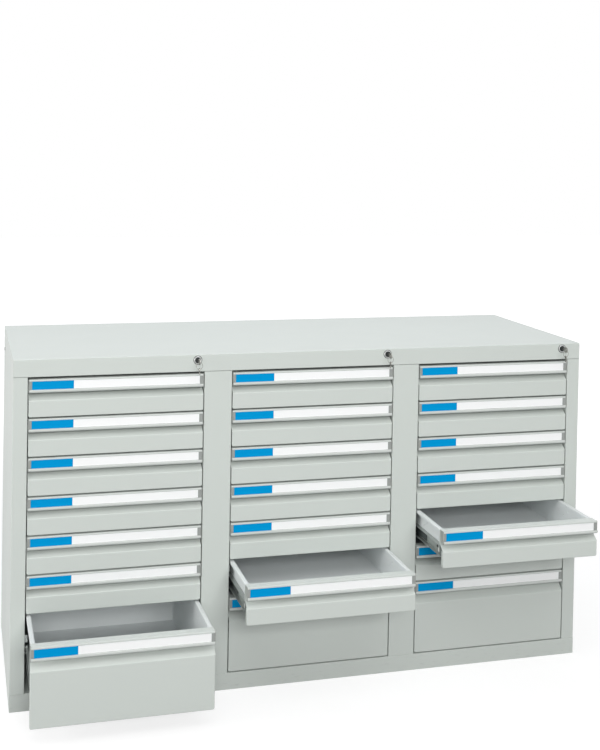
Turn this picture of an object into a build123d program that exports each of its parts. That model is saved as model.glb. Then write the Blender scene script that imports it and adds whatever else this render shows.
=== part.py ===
"""Industrial drawer cabinet: three bays of seven drawers in one folded sheet-steel carcass.

Each bay has six low drawers and one of double height below them. A drawer is a folded tray with
a pressed front, a grip strip with a label slot along its top, and a steel slide on each side.
Each bay has a cylinder lock in the top apron, whose cam moves a locking bar inside the post.

Millimetres, +Z up. The origin is on the floor under the middle of the carcass, the drawers face
-Y and the bays run along X. The sizes are for a cabinet 1500 wide, 550 deep and 850 high.
"""

import os
from math import cos, radians, sin

from build123d import *

os.makedirs("parts", exist_ok=True)

# Carcass
cabinet_width = 1500.0
cabinet_depth = 550.0
cabinet_height = 850.0
bay_count = 3
carcass_sheet = 1.2
back_sheet = 1.0
sheet_bend = 1.6
seam_gap = 0.4

# Posts beside the openings, the apron above them and the plinth below
post_width = 35.0
post_return = 55.0
apron_height = 43.0
apron_return = 15.0
plinth_height = 42.0
plinth_return = 20.0
back_skirt = 20.0
divider_sheet = 1.0
bearer_width = 60.0

# Drawer grid
drawer_units = (1, 1, 1, 1, 1, 1, 2)
top_gap = 6.0
front_gap = 4.0
bottom_gap = 3.0
front_side_gap = 2.2

# How far each drawer that stands open at rest is pulled out, by bay and drawer
drawer_pulls = {(1, 7): 192.0, (2, 6): 190.0, (3, 5): 181.0}

# Pressed drawer front: a grip recess below the strip, a slope and a flat face
front_sheet = 1.2
front_bend = 1.6
recess_depth = 24.0
recess_height = 34.0
slope_feet = {1: 51.0, 2: 56.0}
front_fold = 12.0
front_side_flange = 10.0
front_corner = 3.0

# Tray: a folded pan with hemmed sides, closed by a panel at each end
tray_sheet = 1.0
tray_rear_gap = 40.0
rim_drop = 2.0
floor_rise = 18.0
hem_width = 8.0
hem_drop = 6.0

# Grip strip, an extrusion with a label slot in its face and a lip under it
strip_plate = 2.0
strip_web = 2.0
rim_height = 4.5
label_height = 20.0
slot_depth = 1.5
lip_height = 8.0
lip_proud = 2.5
lip_round = 5.0
rim_bevel = 0.7

# Label insert, its coloured plate and the end caps of the strip
label_thickness = 1.0
label_play = 0.3
colour_plate_length = 99.0
cap_plug = 7.5
cap_plate = 1.5
cap_depth = 6.0
cap_bevel = 3.0

# Slides: a channel on the cabinet runs inside a wider one on the drawer
slide_width = 13.5
slide_height = 27.0
slide_sheet = 1.2
slide_reach = 10.5
running_gap = 0.3
web_gap = 2.3
stop_room = 10.0
runner_rear_gap = 5.0
rail_seat = 20.0
slide_centre_shares = {1: 0.6, 2: 0.5}

# Cylinder lock and its key
lock_drop = 14.0
lock_inset = 18.0
collar_diameter = 20.0
collar_proud = 2.5
collar_taper = 28.0
barrel_diameter = 16.0
barrel_length = 22.0
barrel_clear = 0.3
core_diameter = 11.6
core_clear = 0.2
core_proud = 3.0
core_tail = 2.0
key_thickness = 2.2
key_shank = 6.0
key_shank_length = 12.0
key_bow = 17.0
key_bow_corner = 5.0
key_slot_length = 7.0
key_slot_width = 4.0

# Cam on the lock core, its bent tab and the locking bar that the tab moves down
cam_radius = 10.0
cam_rest_angle = 45.0
cam_thickness = 2.0
cam_width = 8.0
cam_end = 2.5
cam_tab = 2.8
cam_gap = 1.0
tab_play = 1.1
tab_overrun = 1.0
bar_width = 14.0
bar_thickness = 3.0
bar_post_gap = 5.8
bar_floor_gap = 30.0
bar_prong = 2.0
bar_hook_depth = 6.5
catch_height = 12.0
catch_gap = 1.0
guide_height = 12.0
guide_wall = 3.2
guide_clear = 0.3
guide_drawer_count = 4

# What follows from the sizes above, for the carcass
bays = range(1, bay_count + 1)
half_width = cabinet_width / 2
half_depth = cabinet_depth / 2
bay_width = cabinet_width / bay_count
opening_width = bay_width - 2 * post_width
opening_top = cabinet_height - apron_height
opening_height = opening_top - plinth_height
inner_half_width = half_width - carcass_sheet
top_underside = cabinet_height - carcass_sheet
back_outer = half_depth - carcass_sheet
back_inner = back_outer - back_sheet
post_bottom = plinth_height + seam_gap
post_top = opening_top - seam_gap
post_height = post_top - post_bottom

# For the drawers
unit_height = (opening_height - top_gap - bottom_gap + front_gap) / sum(drawer_units)
front_width = opening_width - 2 * front_side_gap
tray_width = opening_width - 2 * slide_width
strip_depth = recess_depth + front_sheet + tray_sheet
lip_top = rim_height + label_height
lip_bottom = lip_top + lip_height
tray_length = back_inner - tray_rear_gap - tray_sheet + half_depth - strip_depth
runner_length = tray_length - runner_rear_gap
rail_length = runner_length - stop_room
rail_front = -half_depth + strip_depth + stop_room
rail_back = rail_front + rail_length
rear_return = back_inner - rail_back + rail_seat
rail_height = slide_height - 2 * slide_sheet - 2 * running_gap
rail_reach = slide_width - slide_sheet - web_gap

# For the locks, measured from the middle of a bay and from the front plane
lock_x = opening_width / 2 - lock_inset
lock_z = cabinet_height - lock_drop
cam_front = barrel_length + core_tail
bar_front = cam_front + cam_thickness + cam_gap
bar_left = opening_width / 2 + carcass_sheet + bar_post_gap
tab_x = lock_x + cam_radius * cos(radians(cam_rest_angle))
tab_z = lock_z + cam_radius * sin(radians(cam_rest_angle))


def front_height(units):
    """Height of a drawer front that takes this many units of the grid."""
    return units * unit_height - front_gap


def bay_centre(bay):
    """X of the middle of a bay, counted from 1 at the left."""
    return (bay - (bay_count + 1) / 2) * bay_width


def drawer_top(number):
    """Z of the top of a drawer front, counted from 1 at the top."""
    return opening_top - top_gap - sum(drawer_units[: number - 1]) * unit_height


def slide_centre(units):
    """How far the middle of a slide lies below the top of its drawer front."""
    return slide_centre_shares[units] * front_height(units)


def folded_face(points, thickness, side=Side.LEFT):
    """The section of a folded sheet whose outer face follows the points."""
    with BuildSketch() as section:
        with BuildLine():
            Polyline(*points)
            offset(amount=thickness, side=side, kind=Kind.INTERSECTION)
        make_face()
    return section.sketch_local


def write_node(name, pieces):
    """Writes one node as a STEP file, with each of its pieces as a solid of its own."""
    for piece in pieces:
        piece.label = piece.label or name
    node = pieces[0] if len(pieces) == 1 else Compound(label=name, children=pieces)
    node.label = name
    export_step(node, f"parts/{name}.step")


def moved(pieces, x=0.0, y=0.0, z=0.0):
    """Copies of labelled pieces, moved by a distance along each axis."""
    copies = []
    for piece in pieces:
        copy = piece.moved(Location((x, y, z)))
        copy.label = piece.label
        copies.append(copy)
    return copies


def top_cover():
    """One sheet: the top, the front apron with its lower return and the skirt at the back."""
    side_path = [
        (-half_depth + apron_return, opening_top),
        (-half_depth, opening_top),
        (-half_depth, cabinet_height),
        (half_depth, cabinet_height),
        (half_depth, cabinet_height - back_skirt),
    ]
    with BuildPart() as cover:
        with BuildSketch(Plane.YZ):
            add(folded_face(side_path, carcass_sheet, Side.RIGHT))
        extrude(amount=half_width, both=True)
        long_edges = cover.edges().filter_by(Axis.X)
        front_bends = long_edges.group_by(Axis.Y)[0]
        back_bend = long_edges.group_by(Axis.Z)[-1].sort_by(Axis.Y)[-1]
        fillet(front_bends + [back_bend], sheet_bend)
        with BuildSketch(Plane.XY.offset(opening_top)):
            with Locations((-half_width, -half_depth + carcass_sheet)):
                Rectangle(carcass_sheet, apron_return, align=Align.MIN)
            mirror(about=Plane.YZ)
        extrude(amount=carcass_sheet, mode=Mode.SUBTRACT)
        lock_places = [(bay_centre(bay) + lock_x, lock_z) for bay in bays]
        with BuildSketch(Plane.XZ.offset(half_depth)):
            with Locations(*lock_places):
                Circle(barrel_diameter / 2 + barrel_clear)
        extrude(amount=-apron_return, mode=Mode.SUBTRACT)
    cover.part.label = "top_cover"
    return cover.part


def side_panel(hand):
    """One sheet: the side wall, folded round at the front and back into a post of the opening."""
    plan_path = [
        (half_width - post_width, back_inner - rear_return),
        (half_width - post_width, back_inner),
        (half_width, back_inner),
        (half_width, -half_depth),
        (half_width - post_width, -half_depth),
        (half_width - post_width, -half_depth + post_return),
    ]
    wall_depth = back_inner + half_depth - carcass_sheet
    wall_middle = (back_inner - half_depth + carcass_sheet) / 2
    with BuildPart() as panel:
        with BuildSketch(Plane.XY.offset(post_bottom)):
            add(folded_face(plan_path, carcass_sheet, Side.RIGHT))
        extrude(amount=post_height)
        upright_edges = panel.edges().filter_by(Axis.Z)
        front_bends = upright_edges.group_by(Axis.Y)[0]
        back_bend = upright_edges.group_by(Axis.Y)[-1].sort_by(Axis.X)[-1]
        fillet(front_bends + [back_bend], sheet_bend)
        with BuildSketch():
            with Locations((half_width - carcass_sheet / 2, wall_middle)):
                Rectangle(carcass_sheet, wall_depth)
        extrude(amount=post_bottom)
        with BuildSketch(Plane.XY.offset(post_top)):
            with Locations((half_width - carcass_sheet / 2, wall_middle)):
                Rectangle(carcass_sheet, wall_depth)
        extrude(amount=top_underside - post_top)
        if hand < 0:
            mirror(about=Plane.YZ, mode=Mode.REPLACE)
    return panel.part


def bay_divider():
    """The post between two bays at the front, the one at the back and the sheet between them."""
    front_path = [
        (-post_width, -half_depth + post_return),
        (-post_width, -half_depth),
        (post_width, -half_depth),
        (post_width, -half_depth + post_return),
    ]
    with BuildPart() as front_post:
        with BuildSketch(Plane.XY.offset(post_bottom)):
            add(folded_face(front_path, carcass_sheet))
        extrude(amount=post_height)
        fillet(front_post.edges().filter_by(Axis.Z).group_by(Axis.Y)[0], sheet_bend)
    front_post.part.label = "front_post"
    rear_path = [
        (-post_width, back_inner - rear_return),
        (-post_width, back_inner),
        (post_width, back_inner),
        (post_width, back_inner - rear_return),
    ]
    with BuildPart() as rear_post:
        with BuildSketch(Plane.XY.offset(post_bottom)):
            add(folded_face(rear_path, carcass_sheet, Side.RIGHT))
        extrude(amount=post_height)
    rear_post.part.label = "rear_post"
    sheet_front = -half_depth + carcass_sheet
    sheet_back = back_inner - carcass_sheet
    with BuildPart() as sheet:
        with BuildSketch(Plane.YZ):
            with Locations((sheet_front, plinth_height)):
                Rectangle(sheet_back - sheet_front, post_top - plinth_height, align=Align.MIN)
            with Locations((-half_depth + apron_return + seam_gap, post_top)):
                Rectangle(
                    half_depth - apron_return - seam_gap + sheet_back,
                    top_underside - post_top,
                    align=Align.MIN,
                )
        extrude(amount=divider_sheet / 2, both=True)
    sheet.part.label = "divider_sheet"
    return [front_post.part, rear_post.part, sheet.part]


def back_panel():
    """The flat sheet that closes the back, inside the skirt of the top cover."""
    with BuildPart() as panel:
        with BuildSketch(Plane.XZ.offset(-back_inner)):
            Rectangle(cabinet_width, top_underside, align=(Align.CENTER, Align.MIN))
        extrude(amount=-back_sheet)
    panel.part.label = "back_panel"
    return panel.part


def base():
    """The bottom with the plinth folded from it, and the bearer that carries its middle."""
    side_path = [
        (-half_depth + plinth_return, 0),
        (-half_depth, 0),
        (-half_depth, plinth_height),
        (back_inner, plinth_height),
        (back_inner, 0),
        (back_inner - plinth_return, 0),
    ]
    with BuildPart() as bottom:
        with BuildSketch(Plane.YZ):
            add(folded_face(side_path, carcass_sheet, Side.RIGHT))
        extrude(amount=inner_half_width, both=True)
        with BuildSketch(Plane.XZ.offset(half_depth)):
            Rectangle(cabinet_width, plinth_height, align=(Align.CENTER, Align.MIN))
        extrude(amount=-carcass_sheet)
        long_edges = bottom.edges().filter_by(Axis.X)
        fillet(long_edges.group_by(Axis.Y)[0].group_by(Axis.Z)[-1], sheet_bend)
    bottom.part.label = "bottom"
    bearer_height = plinth_height - carcass_sheet
    bearer_path = [
        (-bearer_width / 2, bearer_height),
        (-bearer_width / 2, 0),
        (bearer_width / 2, 0),
        (bearer_width / 2, bearer_height),
    ]
    with BuildPart() as bearer:
        with BuildSketch(Plane.YZ):
            add(folded_face(bearer_path, carcass_sheet))
        extrude(amount=inner_half_width, both=True)
    bearer.part.label = "bearer"
    return [bottom.part, bearer.part]


def cabinet_rail(hand):
    """The slide channel on the cabinet, open towards the drawer, for the middle of a bay."""
    web_face = opening_width / 2
    with BuildPart() as rail:
        with BuildSketch(Plane.XZ.offset(-rail_front)):
            with Locations((hand * (web_face - rail_reach / 2), 0)):
                Rectangle(rail_reach, rail_height)
            with Locations((hand * (web_face - slide_sheet - rail_reach / 2), 0)):
                Rectangle(rail_reach, rail_height - 2 * slide_sheet, mode=Mode.SUBTRACT)
        extrude(amount=-rail_length)
    rail.part.label = "left_rail" if hand < 0 else "right_rail"
    return rail.part


def drawer_pieces(units):
    """The pieces of a drawer, with X from its middle, Y from the front plane and Z from its top."""
    height = front_height(units)
    tray_floor = -(height - floor_rise)
    rim = -rim_drop
    front_path = [
        (recess_depth, -strip_plate),
        (recess_depth, -recess_height),
        (0, -slope_feet[units]),
        (0, -height),
        (front_fold, -height),
    ]
    flange_height = height - slope_feet[units] - front_corner
    with BuildPart() as front:
        with BuildSketch(Plane.YZ):
            add(folded_face(front_path, front_sheet))
        extrude(amount=front_width / 2)
        lower_bend = front.edges().filter_by(Axis.X).group_by(Axis.Z)[0].sort_by(Axis.Y)[0]
        fillet(lower_bend, front_bend)
        corner_path = [
            (front_width / 2 - front_corner, -height),
            (front_width / 2, -height),
            (front_width / 2, -height + front_corner),
        ]
        with BuildSketch(Plane.XZ):
            with BuildLine():
                Polyline(*corner_path, close=True)
            make_face()
        extrude(amount=-front_fold, mode=Mode.SUBTRACT)
        with BuildSketch(Plane.YZ.offset(front_width / 2)):
            with Locations((front_sheet, -height + front_corner)):
                Rectangle(front_side_flange, flange_height, align=Align.MIN)
        extrude(amount=-front_sheet)
        mirror(about=Plane.YZ)
    front.part.label = "front"

    with BuildPart() as inner_panel:
        with BuildSketch(Plane.XZ.offset(-recess_depth - front_sheet)):
            with Locations((0, (tray_floor - strip_plate) / 2)):
                Rectangle(tray_width, -tray_floor - strip_plate)
        extrude(amount=-tray_sheet)
    inner_panel.part.label = "inner_panel"

    hem_x = tray_width / 2 + hem_width
    fold_z = rim - tray_sheet
    pan_path = [
        (-hem_x, fold_z - hem_drop),
        (-hem_x, fold_z),
        (-tray_width / 2, fold_z),
        (-tray_width / 2, tray_floor),
        (tray_width / 2, tray_floor),
        (tray_width / 2, fold_z),
        (hem_x, fold_z),
        (hem_x, fold_z - hem_drop),
    ]
    with BuildPart() as pan:
        with BuildSketch(Plane.XZ.offset(-strip_depth)):
            add(folded_face(pan_path, tray_sheet))
        extrude(amount=-tray_length)
    pan.part.label = "pan"

    with BuildPart() as rear_panel:
        with BuildSketch(Plane.XZ.offset(-strip_depth - tray_length)):
            with Locations((0, (tray_floor + rim) / 2)):
                Rectangle(tray_width, rim - tray_floor)
        extrude(amount=-tray_sheet)
    rear_panel.part.label = "rear_panel"

    with BuildPart() as runner:
        with BuildSketch(Plane.XZ.offset(-strip_depth)):
            with Locations(((tray_width + slide_reach) / 2, -slide_centre(units))):
                Rectangle(slide_reach, slide_height)
            with Locations(((tray_width + slide_reach) / 2 + slide_sheet, -slide_centre(units))):
                Rectangle(slide_reach, slide_height - 2 * slide_sheet, mode=Mode.SUBTRACT)
        extrude(amount=-runner_length)
    runner.part.label = "right_runner"
    with BuildPart() as other_runner:
        add(mirror(runner.part, about=Plane.YZ, mode=Mode.PRIVATE))
    other_runner.part.label = "left_runner"
    return [
        front.part,
        inner_panel.part,
        pan.part,
        rear_panel.part,
        runner.part,
        other_runner.part,
    ]


def handle_pieces():
    """The grip strip with its label, coloured plate and end caps, in the same frame as a drawer."""
    strip_path = [
        (0, 0),
        (strip_depth, 0),
        (strip_depth, -strip_plate),
        (slot_depth + strip_web, -strip_plate),
        (slot_depth + strip_web, -lip_bottom),
        (-lip_proud, -lip_bottom),
        (-lip_proud, -lip_top),
        (slot_depth, -lip_top),
        (slot_depth, -rim_height),
        (0, -rim_height),
    ]
    strip_length = front_width - 2 * cap_plate
    with BuildPart() as strip:
        with BuildSketch(Plane.YZ):
            with BuildLine():
                Polyline(*strip_path, close=True)
            make_face()
        extrude(amount=strip_length / 2, both=True)
        long_edges = strip.edges().filter_by(Axis.X)
        fillet(long_edges.group_by(Axis.Z)[0].sort_by(Axis.Y)[0], lip_round)
        long_edges = strip.edges().filter_by(Axis.X)
        chamfer(long_edges.group_by(Axis.Z)[-1].sort_by(Axis.Y)[0], rim_bevel)
    strip.part.label = "strip"

    label_face = slot_depth - label_thickness
    label_middle = -(rim_height + lip_top) / 2
    label_left = -strip_length / 2 + cap_plug
    label_right = -label_left
    colour_right = label_left + colour_plate_length
    with BuildPart() as colour_plate:
        with BuildSketch(Plane.XZ.offset(-label_face)):
            with Locations(((label_left + colour_right) / 2, label_middle)):
                Rectangle(colour_plate_length, label_height - 2 * label_play)
        extrude(amount=-label_thickness)
    colour_plate.part.label = "colour_plate"
    with BuildPart() as label_card:
        with BuildSketch(Plane.XZ.offset(-label_face)):
            with Locations(((colour_right + label_right) / 2, label_middle)):
                Rectangle(label_right - colour_right, label_height - 2 * label_play)
        extrude(amount=-label_thickness)
    label_card.part.label = "label_card"

    cap_path = [
        (0, 0),
        (cap_depth, 0),
        (cap_depth, -lip_top),
        (slot_depth + strip_web, -lip_bottom),
        (-lip_proud, -lip_bottom),
        (-lip_proud, -lip_top),
        (0, -lip_top),
    ]
    with BuildPart() as cap:
        with BuildSketch(Plane.YZ.offset(strip_length / 2)):
            with BuildLine():
                Polyline(*cap_path, close=True)
            make_face()
        extrude(amount=cap_plate)
        chamfer(cap.edges().filter_by(Axis.X).group_by(Axis.Z)[0].sort_by(Axis.Y)[0], cap_bevel)
        with BuildSketch(Plane.YZ.offset(strip_length / 2)):
            with Locations((slot_depth / 2, label_middle)):
                Rectangle(slot_depth, label_height)
        extrude(amount=-cap_plug)
    cap.part.label = "right_cap"
    with BuildPart() as other_cap:
        add(mirror(cap.part, about=Plane.YZ, mode=Mode.PRIVATE))
    other_cap.part.label = "left_cap"
    return [strip.part, colour_plate.part, label_card.part, cap.part, other_cap.part]


def lock_housing():
    """The collar and barrel of a lock, bored for the core, at the middle of a bay."""
    with BuildPart() as housing:
        with BuildSketch(Plane.XZ.offset(half_depth)):
            with Locations((lock_x, lock_z)):
                Circle(collar_diameter / 2)
        extrude(amount=collar_proud, taper=collar_taper)
        with BuildSketch(Plane.XZ.offset(half_depth)):
            with Locations((lock_x, lock_z)):
                Circle(barrel_diameter / 2)
        extrude(amount=-barrel_length)
        with BuildSketch(Plane.XZ.offset(half_depth + collar_proud)):
            with Locations((lock_x, lock_z)):
                Circle(core_diameter / 2 + core_clear)
        extrude(amount=-collar_proud - barrel_length, mode=Mode.SUBTRACT)
    housing.part.label = "housing"
    return housing.part


def lock_core_pieces():
    """The turning core with the cam behind it, and the key that stands in it."""
    with BuildPart() as core:
        with BuildSketch(Plane.XZ.offset(half_depth + core_proud)):
            with Locations((lock_x, lock_z)):
                Circle(core_diameter / 2)
        extrude(amount=-core_proud - cam_front)
    core.part.label = "core"

    cam_length = cam_width / 2 + cam_radius + cam_end
    with BuildPart() as cam:
        with BuildSketch(Plane.XZ.offset(half_depth - cam_front)):
            with Locations(Location((lock_x, lock_z), cam_rest_angle)):
                with Locations((-cam_width / 2, 0)):
                    Rectangle(cam_length, cam_width, align=(Align.MIN, Align.CENTER))
        extrude(amount=-cam_thickness)
        with BuildSketch(Plane.XZ.offset(half_depth - cam_front - cam_thickness)):
            with Locations((tab_x, tab_z)):
                Rectangle(cam_tab, cam_tab, rotation=cam_rest_angle)
        extrude(amount=-cam_gap - bar_thickness - tab_overrun)
    cam.part.label = "cam"

    key_root = -half_depth - core_proud
    bow_middle = key_root - key_shank_length - key_bow / 2
    with BuildPart() as key:
        with BuildSketch(Plane.YZ.offset(lock_x - key_thickness / 2)):
            with Locations((bow_middle, lock_z)):
                bow = Rectangle(key_bow, key_bow)
            chamfer(bow.vertices(), key_bow_corner)
            with Locations(((key_root + bow_middle) / 2, lock_z)):
                Rectangle(key_root - bow_middle, key_shank)
            with Locations((bow_middle, lock_z)):
                Rectangle(key_slot_width, key_slot_length, mode=Mode.SUBTRACT)
        extrude(amount=key_thickness)
    key.part.label = "key"
    return [core.part, cam.part, key.part]


def locking_bar():
    """The flat bar in the post: a fork round the cam's tab above, a catch beside each drawer."""
    hook_left = tab_x - cam_tab
    slot_height = cam_tab + 2 * tab_play
    slot_end = lock_x + cam_radius + cam_tab / 2 + tab_play
    hook_top = tab_z + slot_height / 2 + bar_prong
    hook_bottom = tab_z - slot_height / 2 - bar_hook_depth
    bar_bottom = plinth_height + bar_floor_gap
    with BuildPart() as bar:
        with BuildSketch(Plane.XZ.offset(half_depth - bar_front)):
            with Locations((bar_left, bar_bottom)):
                Rectangle(bar_width, hook_top - bar_bottom, align=(Align.MIN, Align.MIN))
            with Locations((hook_left, hook_bottom)):
                Rectangle(bar_left - hook_left, hook_top - hook_bottom, align=(Align.MIN, Align.MIN))
            with Locations((hook_left, tab_z)):
                Rectangle(
                    slot_end - hook_left,
                    slot_height,
                    align=(Align.MIN, Align.CENTER),
                    mode=Mode.SUBTRACT,
                )
            catch_reach = bar_post_gap - catch_gap
            catches = [
                (bar_left, drawer_top(number) - slide_centre(units))
                for number, units in enumerate(drawer_units, 1)
            ]
            with Locations(*catches):
                Rectangle(catch_reach, catch_height, align=(Align.MAX, Align.CENTER))
        extrude(amount=-bar_thickness)
    bar.part.label = "locking_bar"
    return bar.part


def bar_guides():
    """Blocks on the return of the post that the locking bar slides through.

    One sits below the first drawer, and one below every fourth drawer after it.
    """
    block_left = opening_width / 2 + carcass_sheet
    block_width = bar_post_gap + bar_width + guide_clear + guide_wall
    block_depth = bar_thickness + 2 * (guide_clear + guide_wall)
    bar_middle = -half_depth + bar_front + bar_thickness / 2
    guides = []
    for number in range(1, len(drawer_units), guide_drawer_count):
        guide_z = drawer_top(number + 1) + front_gap / 2
        with BuildPart() as guide:
            with BuildSketch(Plane.XY.offset(guide_z - guide_height / 2)):
                with Locations((block_left + block_width / 2, bar_middle)):
                    Rectangle(block_width, block_depth)
                with Locations((bar_left + bar_width / 2, bar_middle)):
                    Rectangle(
                        bar_width + 2 * guide_clear,
                        bar_thickness + 2 * guide_clear,
                        mode=Mode.SUBTRACT,
                    )
            extrude(amount=guide_height)
        guide.part.label = f"guide_{number}"
        guides.append(guide.part)
    return guides


# Carcass
write_node("top_cover", [top_cover()])
write_node("side_panel_left", [side_panel(-1)])
write_node("side_panel_right", [side_panel(1)])
divider = bay_divider()
for bay, side in zip(bays, ("left", "right")):
    write_node(f"bay_divider_{side}", moved(divider, x=bay_centre(bay) + bay_width / 2))
write_node("back_panel", [back_panel()])
write_node("base", base())

# Rails on the cabinet, two for each drawer
rail_pair = [cabinet_rail(-1), cabinet_rail(1)]
for bay in bays:
    rails = []
    for number, units in enumerate(drawer_units, 1):
        rail_z = drawer_top(number) - slide_centre(units)
        rails += moved(rail_pair, x=bay_centre(bay), z=rail_z)
    write_node(f"slide_rails_{bay}", rails)

# Drawers and their grip strips
drawer_kinds = {units: drawer_pieces(units) for units in set(drawer_units)}
handle_kind = handle_pieces()
for bay in bays:
    for number, units in enumerate(drawer_units, 1):
        place = {
            "x": bay_centre(bay),
            "y": -half_depth - drawer_pulls.get((bay, number), 0.0),
            "z": drawer_top(number),
        }
        write_node(f"drawer_{bay}_{number}", moved(drawer_kinds[units], **place))
        write_node(f"handle_{bay}_{number}", moved(handle_kind, **place))

# Locks, locking bars and the guides that hold the bars
housing_kind = lock_housing()
core_kind = lock_core_pieces()
bar_kind = locking_bar()
guide_kind = bar_guides()
housings = []
guides = []
for bay in bays:
    housings += moved([housing_kind], x=bay_centre(bay))
    guides += moved(guide_kind, x=bay_centre(bay))
    write_node(f"lock_core_{bay}", moved(core_kind, x=bay_centre(bay)))
    write_node(f"locking_bar_{bay}", moved([bar_kind], x=bay_centre(bay)))
write_node("lock_housings", housings)
write_node("bar_guides", guides)
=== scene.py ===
"""Looks of the industrial drawer cabinet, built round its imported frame. Metres, +Z up.

The carcass keeps its own sheets and gets its coating. Every drawer, grip strip and lock is made
again here with rounded folds, slots and small fittings, at the place that the frame gives it.
"""

from math import cos, pi, radians, sin

import bmesh
import bpy
from mathutils import Matrix, Vector


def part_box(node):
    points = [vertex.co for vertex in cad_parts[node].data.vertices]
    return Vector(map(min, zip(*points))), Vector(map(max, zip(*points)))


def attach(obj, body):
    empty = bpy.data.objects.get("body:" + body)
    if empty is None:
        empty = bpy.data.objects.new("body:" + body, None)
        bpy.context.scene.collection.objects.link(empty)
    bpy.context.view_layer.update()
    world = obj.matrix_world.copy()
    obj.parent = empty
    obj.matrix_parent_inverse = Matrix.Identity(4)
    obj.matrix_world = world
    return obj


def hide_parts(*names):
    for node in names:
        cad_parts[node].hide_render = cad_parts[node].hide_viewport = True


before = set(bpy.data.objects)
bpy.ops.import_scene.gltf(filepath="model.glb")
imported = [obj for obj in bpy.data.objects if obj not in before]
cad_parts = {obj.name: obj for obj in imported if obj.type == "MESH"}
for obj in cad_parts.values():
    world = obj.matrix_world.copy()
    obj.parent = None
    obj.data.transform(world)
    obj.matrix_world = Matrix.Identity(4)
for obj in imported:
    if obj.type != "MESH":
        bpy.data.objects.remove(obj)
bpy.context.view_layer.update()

# Segments of rounded edges, and the distances within which two places count as one
fold_segments = 4
edge_segments = 3
bevel_segments = 2
lip_segments = 7
tolerance = 1e-6
weld_distance = 1e-5

# Least angles of a sheet's fold, a pressed bend, a solid's corner and a shaded edge, and the least
# share of its length that an edge along an axis runs along it
fold_angle = 0.05
bend_angle = 0.5
corner_angle = 0.7
sharp_angle = radians(32)
straight_share = 0.999

# Drawer grid of the frame
bays = (1, 2, 3)
drawer_units = (1, 1, 1, 1, 1, 1, 2)

# Carcass and opening
cabinet_low, cabinet_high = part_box("top_cover")
cabinet_half = cabinet_high.x
cabinet_front = cabinet_low.y
opening_half = 0.215

# Pressed front
front_sheet = 0.0012
front_bend = 0.0016
recess_depth = 0.024
recess_height = 0.034
slope_foot = {1: 0.051, 2: 0.056}
front_flange = 0.011
front_half = 0.2128
front_corner = 0.004

# Tray, with the small holes in its side walls as distance behind the front and below the top
tray_sheet = 0.001
tray_bend = 0.0016
tray_half = 0.2015
rim_drop = 0.002
floor_rise = 0.018
hem_width = 0.008
hem_drop = 0.006
strip_depth = 0.0262
panel_flange = 0.012
panel_gap = 0.0002
panel_drop = 0.0004
cheek_drop = 0.003
cheek_gap = 0.0018
wall_hole = 0.0021
hole_cuts = 2
hole_inset_share = 0.15
wall_holes = {
    1: ((0.135, 0.0175), (0.158, 0.0305)),
    2: ((0.135, 0.0175), (0.158, 0.0305), (0.464, 0.151), (0.443, 0.158)),
}

# Grip strip
strip_plate = 0.002
strip_web = 0.002
rim_height = 0.0045
label_height = 0.020
slot_depth = 0.0015
lip_height = 0.008
lip_proud = 0.0025
lip_round = 0.005
lip_edge = 0.0006
rim_round = 0.0009
groove_place = 0.0085
groove_width = 0.0011
groove_depth = 0.0006
left_plug = 0.0062
right_plug = 0.0082
cap_plate = 0.0015
cap_depth = 0.006
colour_plate_length = 0.099
label_thickness = 0.001
label_play = 0.0003
label_seam = 0.0002
label_bevel = 0.0002
face_step = 0.0001
plug_seam = 0.0002
plug_play = 0.0003
plug_bevel = 0.0004
cap_bevel = 0.0003

# Slides, with turned profiles as radius and Y
slide_height = 0.027
slide_sheet = 0.0012
slide_reach = 0.0105
slide_centre_share = {1: 0.6, 2: 0.5}
runner_bead = 0.0012
runner_rear_gap = 0.005
hole_pitch = 0.032
hole_start = 0.055
hole_margin = 0.07
runner_hole = 0.0022
end_plate_round = 0.0055
stop_length = 0.008
stop_half_height = 0.0048
stop_gap = 0.0004
stop_seat = 0.0002
stop_round = 0.0012
# Black discs in the runners' webs, painted shade of holes: their place along the runner, steps and
# profile
hole_shade_place = 0.062
hole_shade_steps = 20
hole_shade_profile = ((0.0, 0.0009), (0.0026, 0.0009), (0.0034, 0.0004), (0.0034, 0.0), (0.0, 0.0))
cage_start = 0.132
cage_length = 0.24
cage_half_height = 0.0104
cage_back = 0.0003
cage_face = 0.0013
cage_bevel = 0.0003
ball_count = 11
ball_radius = 0.0008
ball_sides = 10
ball_rings = 6
ball_start = 0.012
ball_pitch = 0.0216
ball_row = 0.008

# Brackets of the rails, from the front plane and from the middle of the slide, and their screws
clip_front = 0.0286
clip_back = 0.044
clip_low = 0.0148
clip_high = 0.036
clip_sheet = 0.0014
clip_reach = 0.0085
clip_step = 0.003
clip_bevel = 0.0003
clip_tab_bevel = 0.0004
screw_inset = 0.005
screw_shift = 0.001
screw_steps = 16
screw_profile = ((0.0, 0.0011), (0.0015, 0.0010), (0.0024, 0.0004), (0.0024, 0.0), (0.0, 0.0))

# Lock, key and key ring, with turned profiles as radius and Y
lock_x = 0.197
lock_z = 0.836
collar_radius = 0.010
collar_proud = 0.0025
core_radius = 0.0058
core_proud = 0.003
collar_profile = (
    (0.0071, 0.0),
    (0.0071, -0.0017),
    (0.0076, -collar_proud),
    (0.0087, -collar_proud),
    (0.0095, -0.0018),
    (collar_radius, -0.0008),
    (collar_radius, 0.0),
)
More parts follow.
